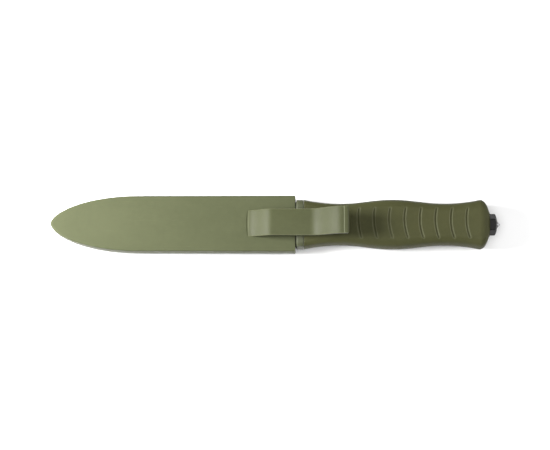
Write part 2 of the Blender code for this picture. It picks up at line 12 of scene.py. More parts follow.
import bmesh
import bpy
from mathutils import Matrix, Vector


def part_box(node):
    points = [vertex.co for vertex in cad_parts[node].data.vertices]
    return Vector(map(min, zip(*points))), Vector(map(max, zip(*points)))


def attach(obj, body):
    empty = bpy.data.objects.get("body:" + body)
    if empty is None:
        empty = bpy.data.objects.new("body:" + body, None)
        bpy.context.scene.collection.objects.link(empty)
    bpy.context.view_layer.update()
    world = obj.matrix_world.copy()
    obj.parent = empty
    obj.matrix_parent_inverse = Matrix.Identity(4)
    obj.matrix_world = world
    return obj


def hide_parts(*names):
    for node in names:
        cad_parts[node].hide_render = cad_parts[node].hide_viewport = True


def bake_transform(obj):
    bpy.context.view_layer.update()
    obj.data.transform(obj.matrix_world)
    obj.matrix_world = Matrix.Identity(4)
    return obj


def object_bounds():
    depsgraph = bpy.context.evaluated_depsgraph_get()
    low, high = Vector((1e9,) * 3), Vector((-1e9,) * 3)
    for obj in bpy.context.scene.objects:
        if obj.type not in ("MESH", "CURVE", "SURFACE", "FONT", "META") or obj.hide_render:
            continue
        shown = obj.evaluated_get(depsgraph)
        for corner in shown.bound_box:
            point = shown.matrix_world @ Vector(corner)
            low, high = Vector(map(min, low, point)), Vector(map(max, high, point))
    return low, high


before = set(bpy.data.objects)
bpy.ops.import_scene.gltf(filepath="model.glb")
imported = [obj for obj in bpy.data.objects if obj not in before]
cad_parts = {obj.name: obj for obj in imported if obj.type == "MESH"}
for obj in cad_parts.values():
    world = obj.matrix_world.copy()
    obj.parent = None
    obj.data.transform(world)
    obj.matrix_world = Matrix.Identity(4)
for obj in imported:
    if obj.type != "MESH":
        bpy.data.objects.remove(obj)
CAD_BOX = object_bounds()

LOG = logging.getLogger("hand_digger")
MM = 0.001
BROAD_FACE = 12 * MM * MM
LEAST_RADIUS = 0.01 * MM
WEAR_STARTS = 700.0
WEAR_FULL = 2300.0
Point = tuple[float, float, float]
Flat = tuple[float, float]
Ring = list[Point]
Colour = tuple[float, float, float]
Piece = bpy.types.Object
Socket = bpy.types.NodeSocket


class Body(Enum):
    """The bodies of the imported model."""

    SHEATH = "sheath"
    TOOL = "tool"
    CLIP = "clip"
    SPRING = "spring"


class Cut(Enum):
    """What a solid does to another one."""

    REMOVE = "DIFFERENCE"
    KEEP_COMMON = "INTERSECT"


def smooth(value: float) -> float:
    """Ease from 0 to 1 with flat ends.

    Args:
        value: Share of the way, which may lie outside 0 to 1.

    Returns:
        The eased share.
    """
    value = min(max(value, 0.0), 1.0)
    return value * value * (3 - 2 * value)


def between(low: float, high: float, count: int) -> list[float]:
    """Evenly spaced places.

    Args:
        low: First place.
        high: Last place.
        count: How many steps lie between them.

    Returns:
        count + 1 places, both ends included.
    """
    return [low + (high - low) * index / count for index in range(count + 1)]


# Shader values.


class Value:
    """A shader socket that takes part in Python sums, each of which adds a Math node."""

    def __init__(self, shade: "Shade", socket: Socket) -> None:
        """Wrap a socket of a material's tree."""
        self.shade = shade
        self.socket = socket

    def _maths(self, operation: str, first: object, second: object = 0.0, clamp: bool = False) -> "Value":
        """Add one Math node.

        Args:
            operation: The node's operation.
            first: Its first input, a Value or a number.
            second: Its second input.
            clamp: Whether the result is kept within 0 to 1.

        Returns:
            The node's result.
        """
        node = self.shade.node("ShaderNodeMath", {"operation": operation, "use_clamp": clamp},
                               {0: first, 1: second})
        return Value(self.shade, node.outputs[0])

    def __add__(self, other: object) -> "Value":
        """Sum."""
        return self._maths("ADD", self, other)

    def __radd__(self, other: object) -> "Value":
        """Sum, reflected."""
        return self._maths("ADD", other, self)

    def __sub__(self, other: object) -> "Value":
        """Difference."""
        return self._maths("SUBTRACT", self, other)

    def __rsub__(self, other: object) -> "Value":
        """Difference, reflected."""
        return self._maths("SUBTRACT", other, self)

    def __mul__(self, other: object) -> "Value":
        """Product."""
        return self._maths("MULTIPLY", self, other)

    def __rmul__(self, other: object) -> "Value":
        """Product, reflected."""
        return self._maths("MULTIPLY", other, self)

    def size(self) -> "Value":
        """The value without its sign."""
        return self._maths("ABSOLUTE", self)

    def wrapped(self, period: float) -> "Value":
        """The distance from the nearest multiple of a period."""
        return self._maths("PINGPONG", self, period / 2)

    def clamped(self) -> "Value":
        """The value kept within 0 to 1."""
        return self._maths("ADD", self, 0.0, clamp=True)

    def rising(self, low: float, high: float) -> "Value":
        """A smooth step.

        Args:
            low: Where the step is still 0.
            high: Where it has become 1.

        Returns:
            The stepped value.
        """
        node = self.shade.node("ShaderNodeMapRange", {"interpolation_type": "SMOOTHSTEP"},
                               {"Value": self, "From Min": low, "From Max": high})
        return Value(self.shade, node.outputs["Result"])


class Shade:
    """One material with a Principled shader and the tools that fill its tree."""

    def __init__(self, name: str) -> None:
        """Start an empty material."""
        self.material = bpy.data.materials.new(name)
        self.material.use_nodes = True
        self.tree = self.material.node_tree
        self.shader = self.tree.nodes["Principled BSDF"]
        self.place = self.node("ShaderNodeTexCoord").outputs["Object"]

    def node(self, kind: str, settings: dict | None = None, inputs: dict | None = None) -> bpy.types.Node:
        """Add any node.

        Args:
            kind: The node's type.
            settings: Its settings, which are made first.
            inputs: Values or links by socket name or number.

        Returns:
            The node.
        """
        made = self.tree.nodes.new(kind)
        for key, value in (settings or {}).items():
            setattr(made, key, value)
        for key, value in (inputs or {}).items():
            self.feed(made.inputs[key], value)
        return made

    def feed(self, socket: Socket, value: object) -> None:
        """Give a socket a link or a plain value."""
        source = value.socket if isinstance(value, Value) else value
        if isinstance(source, Socket):
            self.tree.links.new(source, socket)
        else:
            socket.default_value = source

    def noise(self, size: float, detail: float = 2.0, stretch: Point = (1.0, 1.0, 1.0)) -> Value:
        """Noise with features of a real size.

        Args:
            size: Size of one feature in metres.
            detail: Octaves of finer noise.
            stretch: How many times longer the features are along X, Y and Z.

        Returns:
            The noise, from 0 to 1 around 0.5.
        """
        scale = tuple(1 / (size * times) for times in stretch)
        scaled = self.node("ShaderNodeVectorMath", {"operation": "MULTIPLY"}, {0: self.place, 1: scale})
        made = self.node("ShaderNodeTexNoise", None,
                         {"Vector": scaled.outputs[0], "Scale": 1.0, "Detail": detail})
        return Value(self, made.outputs["Fac"])

    def along(self, axis: str) -> Value:
        """The place along X, Y or Z in metres."""
        split = self.node("ShaderNodeSeparateXYZ", None, {0: self.place})
        return Value(self, split.outputs[axis])

    def painted(self, name: str) -> Value:
        """A number kept on the mesh's points."""
        found = self.node("ShaderNodeAttribute", {"attribute_name": name})
        return Value(self, found.outputs["Fac"])

    def mixed(self, share: Value, first: object, second: object) -> Socket:
        """Mix two colours.

        Args:
            share: 0 gives the first colour, 1 the second.
            first: A colour or a colour socket.
            second: The other one.

        Returns:
            The mixed colour's socket.
        """
        sides = [(*side, 1.0) if isinstance(side, tuple) else side for side in (first, second)]
        made = self.node("ShaderNodeMix", {"data_type": "RGBA"}, {0: share, 6: sides[0], 7: sides[1]})
        return made.outputs[2]

    def finish(self, colour: object, rough: Value, height: Value, depth: float,
               even: dict[str, float]) -> None:
        """Feed the shader, and let a height pattern tilt the surface.

        Args:
            colour: The base colour's socket.
            rough: The roughness.
            height: The pattern, 0 to 1.
            depth: What 1 of it stands for in metres.
            even: Values that are the same all over, by socket name.
        """
        self.feed(self.shader.inputs["Base Color"], colour)
        self.feed(self.shader.inputs["Roughness"], rough.clamped())
        for name, value in even.items():
            self.shader.inputs[name].default_value = value
        made = self.node("ShaderNodeBump", None, {"Height": height, "Distance": depth, "Strength": 1.0})
        self.feed(self.shader.inputs["Normal"], made.outputs["Normal"])


@dataclass(frozen=True)
class Moulded:
    """Moulded plastic or rubber: mould grain, uneven pigment, light scuffs and paler worn edges."""

    name: str
    base: Colour
    deep: Colour
    worn: Colour
    roughness: float = 0.5
    gloss_spread: float = 0.12
    grain: float = 0.35 * MM
    grain_depth: float = 0.09 * MM
    wear: float = 0.5
    scuffs: float = 0.35
    specular: float = 0.5

    def make(self) -> bpy.types.Material:
        """Build the material."""
        shade = Shade(self.name)
        broad = shade.noise(22 * MM, 3.0, (1.6, 1.0, 1.0))
        patch = shade.noise(3.2 * MM, 4.0)
        speck = shade.noise(0.28 * MM, 2.0)
        grain = shade.noise(self.grain, 3.0)
        scratch = shade.noise(0.16 * MM, 1.0, (60.0, 1.0, 1.0)).rising(0.63, 0.72)
        scratch = scratch * shade.noise(9 * MM, 1.0).rising(0.45, 0.62)
        tone = (broad * 0.5 + patch * 0.3 + speck * 0.2).rising(0.36, 0.64)
        edge = (shade.painted("wear") * (0.55 + patch * 0.9)).clamped()
        colour = shade.mixed(tone, self.deep, self.base)
        colour = shade.mixed((edge * self.wear + scratch * self.scuffs * 0.4).clamped(), colour, self.worn)
        rough = self.roughness + (patch - 0.5) * self.gloss_spread + (grain - 0.5) * self.gloss_spread
        rough = rough - edge * 0.08 + scratch * 0.08
        height = grain * 0.7 + speck * 0.3 + broad * 0.6 - scratch * self.scuffs * 0.5
        shade.finish(colour, rough, height, self.grain_depth, {"Specular IOR Level": self.specular})
        return shade.material


@dataclass(frozen=True)
class Metal:
    """Metal with machining lines, tarnish, fine scratches and bright edges."""

    name: str
    base: Colour
    deep: Colour
    worn: Colour
    roughness: float = 0.32
    lines: Point = (1.0, 40.0, 40.0)
    line_depth: float = 0.006 * MM
    metallic: float = 1.0
    wear: float = 0.7
    specular: float = 0.5

    def make(self) -> bpy.types.Material:
        """Build the material."""
        return self.fill(Shade(self.name)).material

    def fill(self, shade: Shade, mask: Value | None = None) -> Shade:
        """Fill a material's tree.

        Args:
            shade: The material to fill.
            mask: Where darker marks lie, if the piece has any.

        Returns:
            The same material.
        """
        cloud = shade.noise(6 * MM, 3.0)
        lines = shade.noise(0.12 * MM, 2.0, self.lines)
        scratch = shade.noise(0.14 * MM, 1.0, (1.0, 25.0, 6.0)).rising(0.66, 0.74)
        edge = (shade.painted("wear") * (0.5 + cloud)).clamped()
        colour = shade.mixed((cloud * 0.6 + lines * 0.4).rising(0.35, 0.65), self.deep, self.base)
        colour = shade.mixed((edge * self.wear + scratch * 0.25).clamped(), colour, self.worn)
        rough = self.roughness + (lines - 0.5) * 0.18 + (cloud - 0.5) * 0.12 - edge * 0.06
        height = lines * 0.8 - scratch * 0.5
        if mask is not None:
            colour = shade.mixed(mask, colour, tuple(part * 0.22 for part in self.deep))
            rough = rough + mask * 0.3
            height = height - mask * 4.0
        shade.finish(colour, rough, height, self.line_depth,
                     {"Metallic": self.metallic, "Specular IOR Level": self.specular})
        return shade


@dataclass(frozen=True)
class BladeSteel(Metal):
    """Satin ground blade steel with etched depth marks along the middle."""

    mark_pitch: float = 10 * MM
    mark_width: float = 0.5 * MM
    mark_reach: float = 4.5 * MM
    first_mark: float = 0.0
    last_mark: float = 0.0

    def make(self) -> bpy.types.Material:
        """Build the material, with one mark each pitch back from the point."""
        shade = Shade(self.name)
        x, across = shade.along("X"), shade.along("Y").size()
        near = (x - self.first_mark).wrapped(self.mark_pitch)
        mask = 1 - near.rising(self.mark_width * 0.4, self.mark_width * 0.6)
        mask = mask * (1 - across.rising(self.mark_reach * 0.97, self.mark_reach))
        mask = mask * x.rising(self.first_mark - MM, self.first_mark - 0.8 * MM)
        mask = mask * (1 - x.rising(self.last_mark + 0.8 * MM, self.last_mark + MM))
        return self.fill(shade, mask).material


# Mesh tools.


def shape_object(name: str, shape: bmesh.types.BMesh) -> Piece:
    """Turn a bmesh into an object in the scene, with outward faces.

    Args:
        name: The object's name.
        shape: The bmesh, which is freed.

    Returns:
        The object.
    """
    bmesh.ops.recalc_face_normals(shape, faces=shape.faces)
    if shape.calc_volume(signed=True) < 0:
        bmesh.ops.reverse_faces(shape, faces=shape.faces)
    mesh = bpy.data.meshes.new(name)
    shape.to_mesh(mesh)
    shape.free()
    made = bpy.data.objects.new(name, mesh)
    bpy.context.scene.collection.objects.link(made)
    return made


def loft(name: str, rings: list[Ring], tube: bool = False) -> Piece:
    """A skin through rings of equal count.

    Args:
        name: The object's name.
        rings: The sections in order.
        tube: Whether the last ring joins the first, in place of end caps.

    Returns:
        The closed object.
    """
    shape = bmesh.new()
    rows = [[shape.verts.new(point) for point in ring] for ring in rings]
    count = len(rings[0])
    pairs = list(zip(rows, rows[1:]))
    if tube:
        pairs.append((rows[-1], rows[0]))
    for near, far in pairs:
        for index in range(count):
            after = (index + 1) % count
            shape.faces.new((near[index], near[after], far[after], far[index]))
    if not tube:
        shape.faces.new(rows[0][::-1])
        shape.faces.new(rows[-1])
    return shape_object(name, shape)


def combine(target: Piece, tool: Piece, how: Cut = Cut.REMOVE) -> None:
    """Cut one solid with another, which is used up.

    Args:
        target: The solid that changes.
        tool: The cutter.
        how: Whether the cutter's space is removed or kept.
    """
    modifier = target.modifiers.new("cut", "BOOLEAN")
    modifier.operation = how.value
    modifier.solver = "EXACT"
    modifier.object = tool
    bpy.context.view_layer.update()
    evaluated = target.evaluated_get(bpy.context.evaluated_depsgraph_get())
    mesh = bpy.data.meshes.new_from_object(evaluated)
    shape = bmesh.new()
    shape.from_mesh(mesh)
    bmesh.ops.dissolve_degenerate(shape, dist=0.001 * MM, edges=shape.edges)
    shape.to_mesh(mesh)
    shape.free()
    target.modifiers.clear()
    old = target.data
    target.data = mesh
    bpy.data.meshes.remove(old)
    bpy.data.objects.remove(tool)


def quarter_turn(steps: int) -> list[Flat]:
    """Sines and cosines round a quarter turn, without its start."""
    return [(math.sin(angle), math.cos(angle)) for angle in between(0.0, math.pi / 2, steps)[1:]]


def circle(radius: float, count: int) -> list[Flat]:
    """Points round a circle."""
    return [(radius * math.cos(math.tau * index / count),
             radius * math.sin(math.tau * index / count)) for index in range(count)]


def across(x: float, outline: list[Flat], axis_z: float) -> Ring:
    """An outline in Y and Z, set upright at x round an axis."""
    return [(x, y, axis_z + z) for y, z in outline]


def upright(name: str, place: Flat, profile: list[Flat], count: int) -> Piece:
    """A solid turned about a line along Z.

    Args:
        name: The object's name.
        place: Where the line stands, in X and Y.
        profile: Pairs of height and radius.
        count: Points round it.

    Returns:
        The object.
    """
    return loft(name, [[(place[0] + x, place[1] + y, z) for x, y in circle(radius, count)]
                       for z, radius in profile])


def cut_slot(target: Piece, ends: Flat, half: Flat, radius: float, axis_z: float) -> None:
    """Cut a slot along the tool's axis.

    Args:
        target: The solid that changes.
        ends: Where the slot starts and stops along X.
        half: Half its width and half its height.
        radius: Its corner radius.
        axis_z: Height of the axis.
    """
    outline = rounded_box(*half, radius)
    combine(target, loft("slot", [across(x, outline, axis_z) for x in ends]))


def rounded_box(half_wide: float, half_high: float, radius: float, steps: int = 5) -> list[Flat]:
    """Outline of a rectangle with rounded corners.

    Args:
        half_wide: Half its width.
        half_high: Half its height.
        radius: Corner radius.
        steps: Segments in each corner.

    Returns:
        The points, anticlockwise.
    """
    radius = min(radius, half_wide, half_high)
    points = []
    for corner, (right, up) in enumerate(((1, 1), (-1, 1), (-1, -1), (1, -1))):
        for angle in between(corner * math.pi / 2, (corner + 1) * math.pi / 2, steps):
            points.append((right * (half_wide - radius) + radius * math.cos(angle),
                           up * (half_high - radius) + radius * math.sin(angle)))
    return points


def turned(name: str, profile: list[Flat], axis_z: float, steps: int = 64) -> Piece:
    """A profile turned about the tool's axis.

    Args:
        name: The object's name.
        profile: Pairs of place along X and radius. A closed ring has no zero radius.
        axis_z: Height of the axis.
        steps: Segments round the axis.

    Returns:
        The object.
    """
    rings = [across(x, circle(max(radius, LEAST_RADIUS), steps), axis_z) for x, radius in profile]
    return loft(name, rings, tube=min(radius for _, radius in profile) > 0)


def bend(edge: bmesh.types.BMEdge) -> float:
    """How tightly the surface turns outwards across an edge.

    Args:
        edge: The edge.

    Returns:
        The turn in radians for each metre, with faces counted as at most 0.3 mm wide.
    """
    turn = edge.calc_face_angle_signed(0.0)
    if turn <= 0:
        return 0.0
    length = max(edge.calc_length(), 1e-6)
    width = sum(face.calc_area() for face in edge.link_faces) / len(edge.link_faces) / length
    return turn / min(max(width, 0.02 * MM), 0.3 * MM)


def mark_wear(target: Piece, extra: list[float] | None) -> None:
    """Keep on each point how sharply the surface turns outwards there.

    Args:
        target: The object whose mesh is marked.
        extra: A further share for each point, where it is larger.
    """
    shape = bmesh.new()
    shape.from_mesh(target.data)
    values = []
    for vert in shape.verts:
        sharpest = max([0.0, *(bend(edge) for edge in vert.link_edges)])
        if any(face.calc_area() > BROAD_FACE for face in vert.link_faces):
            sharpest = 0.0
        values.append(min(max((sharpest - WEAR_STARTS) / (WEAR_FULL - WEAR_STARTS), 0.0), 1.0))
    shape.free()
    if extra:
        values = [max(pair) for pair in zip(values, extra)]
    attribute = target.data.attributes.new("wear", "FLOAT", "POINT")
    attribute.data.foreach_set("value", values)


def dress(target: Piece, node: str, body: Body, material: bpy.types.Material,
          angle: float = 32.0, extra: list[float] | None = None, ride: bool = True) -> None:
    """Finish a piece: smooth shading, wear, material, body and the node that it stands for.

    Args:
        target: The piece.
        node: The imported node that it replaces.
        body: The body that it moves with.
        material: Its material.
        angle: Edges sharper than this, in degrees, stay sharp.
        extra: Wear to add by point.
        ride: Whether it rides on the body here, which a bent piece doesn't.
    """
    mark_wear(target, extra)
    target.data.materials.clear()
    target.data.materials.append(material)
    target.data.shade_smooth()
    target.data.set_sharp_from_angle(angle=math.radians(angle))
    for polygon in target.data.polygons:
        polygon.use_smooth = len(polygon.vertices) <= 4 or polygon.area < BROAD_FACE / 4
    if ride:
        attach(target, body.value)
    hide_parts(node)
    LOG.info("%s: %d faces on %s", target.name, len(target.data.polygons), body.value)


# The shared outlines.


@dataclass
class SpearOutline:
    """Plan outline with a tapering nose and nearly straight sides."""

    point_x: float
    end_x: float
    half_width: float
    nose: float
    end_half_width: float
    fullness: float = 2.01
    pointedness: float = 0.586
    nose_steps: int = 64

    def half(self, x: float) -> float:
        """Half width at x."""
        distance = max(x - self.point_x, 0.0)
        left = 1 - min(distance / self.nose, 1.0)
        widening = (self.end_half_width - self.half_width) * distance / (self.end_x - self.point_x)
        return self.half_width * (1 - left ** self.fullness) ** self.pointedness + widening

    def points(self, inset: float, end_x: float, corner: float = 0.0) -> list[Flat]:
        """The closed outline.

        Args:
            inset: How far it is moved inwards.
            end_x: Where it ends.
            corner: Radius of the two corners at its end.

        Returns:
            The points, from the nose along +Y to the end and back along -Y.
        """
        upper = []
        small = 0.02 * MM
        for index in range(1, self.nose_steps + 1):
            x = self.point_x + self.nose * (index / self.nose_steps) ** 1.9
            slope = (self.half(x + small) - self.half(x - small)) / (2 * small)
            length = math.hypot(1.0, slope)
            upper.append((x + inset * slope / length, max(self.half(x) - inset / length, 0.02 * MM * index)))
        for x in between(upper[-1][0], end_x - corner, 24)[1:]:
            upper.append((x, self.half(x) - inset))
        half = self.half(end_x) - inset
        for sine, cosine in quarter_turn(4):
            upper.append((end_x - corner + corner * sine, half - corner * (1 - cosine)))
        return [(self.point_x + inset, 0.0)] + upper + [(x, -y) for x, y in reversed(upper)]


@dataclass
class GripForm:
    """The grip's form: widths, depths and flats at its five stations, measured from the mouth."""

    mouth_x: float
    axis_z: float
    stations: tuple[float, ...] = (5.15 * MM, 29.2 * MM, 62.4 * MM, 96.5 * MM, 119.3 * MM)
    half_widths: tuple[float, ...] = (15.9 * MM, 13.37 * MM, 16.05 * MM, 13.5 * MM, 15.97 * MM)
    half_depths: tuple[float, ...] = (9.0 * MM, 8.7 * MM, 10.4 * MM, 9.2 * MM, 10.8 * MM)
    half_flats: tuple[float, ...] = (12.6 * MM, 9.4 * MM, 10.9 * MM, 8.6 * MM, 10.6 * MM)
    facet_share: float = 0.5
    facet_slope: float = 0.55
    fillet: float = 0.9 * MM
    dome_power: float = 2.2

    def contour(self, x: float, values: tuple[float, ...]) -> float:
        """A measure of the grip at x from the mouth, from its values at the stations."""
        collar, neck, belly, waist, flare = self.stations
        if x < neck:
            return values[1] + (values[0] - values[1]) * ((neck - x) / (neck - collar)) ** 2
        for start, end, near, far in ((neck, belly, values[1], values[2]),
                                      (belly, waist, values[2], values[3])):
            if x < end:
                return near + (far - near) * (1 - math.cos(math.pi * (x - start) / (end - start))) / 2
        return values[3] + (values[4] - values[3]) * min((x - waist) / (flare - waist), 1.0) ** 2

    def quarter(self, x: float, inset: float, dome: float) -> list[Flat]:
        """One quarter of a section.

        Args:
            x: Place from the mouth.
            inset: How far the skin is moved inwards.
            dome: Share of the full size, below 1 in the domed end.

        Returns:
            Points in Y and Z from the middle of the flat to the side.
        """
        wide = (self.contour(x, self.half_widths) - inset) * dome
        deep = (self.contour(x, self.half_depths) - inset) * (dome ** 0.5 if dome < 1 else 1.0)
        flat = min(self.contour(x, self.half_flats) * dome, wide - 1.6 * MM * dome)
        knee = flat + (wide - flat) * self.facet_share
        knee_z = deep - (knee - flat) * self.facet_slope
        side_z = knee_z - (wide - knee) * self.facet_slope
        soft = min(self.fillet, (knee - flat) * 0.45)
        points = [(y, deep) for y in between(0.0, flat - soft, 10)]
        for share in (0.25, 0.5, 0.75, 1.0):
            rest = 1 - share
            y = rest * rest * (flat - soft) + 2 * rest * share * flat + share * share * (flat + soft)
            points.append((y, deep - share * share * soft * self.facet_slope))
        points += [(y, deep - (y - flat) * self.facet_slope) for y in between(flat + soft, knee, 3)[1:]]
        for share in between(0.0, 1.0, 9)[1:]:
            rest = 1 - share
            points.append((rest * rest * knee + (1 - rest * rest) * wide,
                           rest * rest * knee_z + 2 * rest * share * side_z))
        return points

    def ring(self, x: float, inset: float = 0.0, dome: float = 1.0) -> Ring:
        """A whole section at x from the mouth."""
        quarter = self.quarter(x, inset, dome)
        top = [(-y, z) for y, z in reversed(quarter[1:])] + quarter
        bottom = [(y, -z) for y, z in reversed(top[1:-1])]
        return [(self.mouth_x + x, y, self.axis_z + z) for y, z in top + bottom]


# Sub-assemblies.


@dataclass
class Sheath:
    """The moulded sheath: two shells, throat insert, and the leaf spring with its rivets."""

    nylon: Moulded
    throat: Moulded
    strip: Metal
    brass: Metal
    wall: float = 2.0 * MM
    side_wall: float = 1.8 * MM
    widening: float = 0.3 * MM
    rim: float = 1.3 * MM
    fillet: float = 0.8 * MM
    nose: float = 56.4 * MM
    seam_chamfer: float = 0.22 * MM
    mouth_round: float = 0.35 * MM
    corner: float = 0.6 * MM
    draft: float = 0.12 * MM
    drain_radius: float = 1.5 * MM
    drain_inset: float = 16.0 * MM
    insert_wall: float = 0.9 * MM
    root_groove: float = 1.5 * MM
    root_depth: float = 0.22 * MM
    root_bow: float = 0.7 * MM
    clip_root: float = 30.4 * MM
    clip_half_width: float = 8.65 * MM
    rivet_depth: float = 1.2 * MM
    rivet_hole: float = 1.2 * MM
    rivet_head: float = 1.7 * MM
    rivet_shank: float = 0.9 * MM
    strip_thickness: float = 0.6 * MM
    strip_foot: float = 8.0 * MM

    def __post_init__(self) -> None:
        """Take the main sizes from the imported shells."""
        low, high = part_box("sheath_front_shell")
        self.tip, self.mouth = low.x, high.x
        self.thickness = high.z
        self.outline = SpearOutline(self.tip, self.mouth, high.y - self.widening, self.nose, high.y)

    def shell_ring(self, inset: float, depth: float, front: bool, end_x: float, corner: float) -> Ring:
        """One ring of a shell, at a depth under its outer face."""
        z = self.thickness - depth if front else depth
        return [(x, y, z) for x, y in self.outline.points(inset, end_x, corner)]

    def make_shell(self, name: str, front: bool) -> Piece:
        """One half of the sheath.

        Args:
            name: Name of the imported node.
            front: Whether it is the half with the belt clip.

        Returns:
            The shell, not dressed yet.
        """
        seam = self.thickness / 2 - 0.03 * MM
        steps = [(self.seam_chamfer, seam), (self.seam_chamfer * 0.3, seam - self.seam_chamfer * 0.5),
                 (0.0, seam - self.seam_chamfer)]
        steps += [(self.draft * share, seam - (seam - self.rim) * share) for share in (0.33, 0.66, 0.95)]
        for sine, cosine in quarter_turn(8):
            steps.append((self.draft + (self.rim - self.draft) * (1 - cosine), self.rim * (1 - sine)))
        steps += [(self.rim + 0.5 * MM, 0.0), (self.rim + 3.0 * MM, 0.0)]
        rings = [self.shell_ring(inset, depth, front, self.mouth - min(inset, self.mouth_round)
                                 - max(inset - self.rim, 0.0), self.corner) for inset, depth in steps]
        shell = loft(name + "_skin", rings)
        steps = [(self.side_wall, self.thickness * 0.6), (self.side_wall, self.wall + self.fillet)]
        for sine, cosine in quarter_turn(4):
            steps.append((self.side_wall + self.fillet * (1 - cosine), self.wall + self.fillet * (1 - sine)))
        beyond = self.mouth + 2 * MM
        combine(shell, loft("hollow", [self.shell_ring(inset, depth, front, beyond, 0.1 * MM)
                                       for inset, depth in steps]))
        return shell

    def make_shells(self) -> None:
        """Both shells, with the groove at the clip's root, the drain hole and the rivet holes."""
        nylon = self.nylon.make()
        front = self.make_shell("sheath_front", True)
        groove_x = self.mouth - self.clip_root - 0.1 * MM
        rows = []
        reach = self.clip_half_width + 0.1 * MM
        for y in between(-reach, reach, 32):
            share = abs(y) / reach
            lift = self.root_groove - self.root_depth * (1 - share ** 6) - 0.001 * MM
            bow = self.root_bow * (1 - share * share)
            rows.append([(groove_x - bow + a, y, self.thickness + lift + b)
                         for a, b in circle(self.root_groove, 72)])
        combine(front, loft("root_groove", rows))
        dress(front, "sheath_front_shell", Body.SHEATH, nylon)

        back = self.make_shell("sheath_back", False)
        profile = [(-MM, self.drain_radius + 1.4 * MM), (0.4 * MM, self.drain_radius),
                   (self.wall - 0.3 * MM, self.drain_radius), (self.wall + MM, self.drain_radius + 1.3 * MM)]
        combine(back, upright("drain", (self.tip + self.drain_inset, 0.0), profile, 40))
        for name in ("retention_rivet_left", "retention_rivet_right"):
            low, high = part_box(name)
            middle = (low + high) / 2
            profile = [(self.wall - self.rivet_depth, self.rivet_hole), (self.wall + MM, self.rivet_hole)]
            combine(back, upright("rivet_hole", (middle.x, middle.y), profile, 28))
        dress(back, "sheath_back_shell", Body.SHEATH, nylon)

    def make_insert(self) -> None:
        """The throat insert: a rounded sleeve with a lead-in round its mouth."""
        low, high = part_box("throat_insert")
        middle = (low + high) / 2
        half_wide, half_high = (high.y - low.y) / 2, (high.z - low.z) / 2
        rings = []
        outer = [(low.x, 0.3 * MM), (low.x + 0.3 * MM, 0.0), (high.x - 0.2 * MM, 0.0), (high.x, 0.15 * MM)]
        inner = [(high.x, self.insert_wall * 0.55), (high.x - 0.9 * MM, self.insert_wall),
                 (low.x + 0.8 * MM, self.insert_wall), (low.x, self.insert_wall - 0.3 * MM)]
        for x, inset in outer + inner:
            taper = (high.x - x) * (self.outline.end_half_width - self.outline.half_width)
            taper = taper / (self.mouth - self.tip)
            outline = rounded_box(half_wide - inset - taper, half_high - inset, 1.1 * MM - inset * 0.4)
            rings.append(across(x, outline, middle.z))
        insert = loft("throat_liner", rings, tube=True)
        dress(insert, "throat_insert", Body.SHEATH, self.throat.make())

    def make_spring(self) -> None:
        """The leaf spring: riveted foot, rising arm and a tip turned down, with rounded edges."""
        low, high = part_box("retention_spring")
        strip, foot = self.strip_thickness, self.strip_foot
        crest = high.z - strip - low.z
        crest_x = high.x - 7 * MM
        rings = []
        for x in between(low.x, high.x, 84):
            rise = crest * smooth((x - low.x - foot) / (crest_x - low.x - foot))
            drop = 0.4 * MM * (max(x - crest_x, 0.0) / (high.x - crest_x)) ** 2
            end = min(x - low.x, high.x - x)
            round_end = 2.2 * MM
            narrow = round_end - math.sqrt(max(round_end ** 2 - max(round_end - end, 0.0) ** 2, 0.0))
            half = high.y - narrow - 0.9 * MM * smooth((x - low.x - foot) / (6 * MM))
            rings.append(across(x, rounded_box(half, strip / 2, 0.2 * MM, 3),
                                low.z + strip / 2 + rise - drop))
        spring = loft("leaf_spring", rings)
        brass = self.brass.make()
        for side in ("left", "right"):
            node = "retention_rivet_" + side
            rivet_low, rivet_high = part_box(node)
            middle = (rivet_low + rivet_high) / 2
            place = (middle.x, middle.y)
            profile = [(low.z - MM, self.rivet_hole), (low.z + strip + 0.4 * MM, self.rivet_hole)]
            combine(spring, upright("rivet_hole", place, profile, 28))
            head = rivet_high.z - 0.7 * MM
            radius, shank = self.rivet_head, self.rivet_shank
            profile = [(rivet_low.z, LEAST_RADIUS), (rivet_low.z, shank - 0.15 * MM),
                       (rivet_low.z + 0.15 * MM, shank), (head, shank), (head, radius - 0.08 * MM),
                       (head + 0.1 * MM, radius)]
            for angle in between(0.1, math.pi / 2, 7):
                profile.append((head + 0.15 * MM + 0.55 * MM * math.sin(angle),
                                max(radius * math.cos(angle), LEAST_RADIUS)))
            rivet = upright("brass_rivet_" + side, place, profile, 40)
            dress(rivet, node, Body.SHEATH, brass)
        dress(spring, "retention_spring", Body.SPRING, self.strip.make())

    def build(self) -> None:
        """Make the whole sheath."""
        self.make_shells()
        self.make_insert()
        self.make_spring()


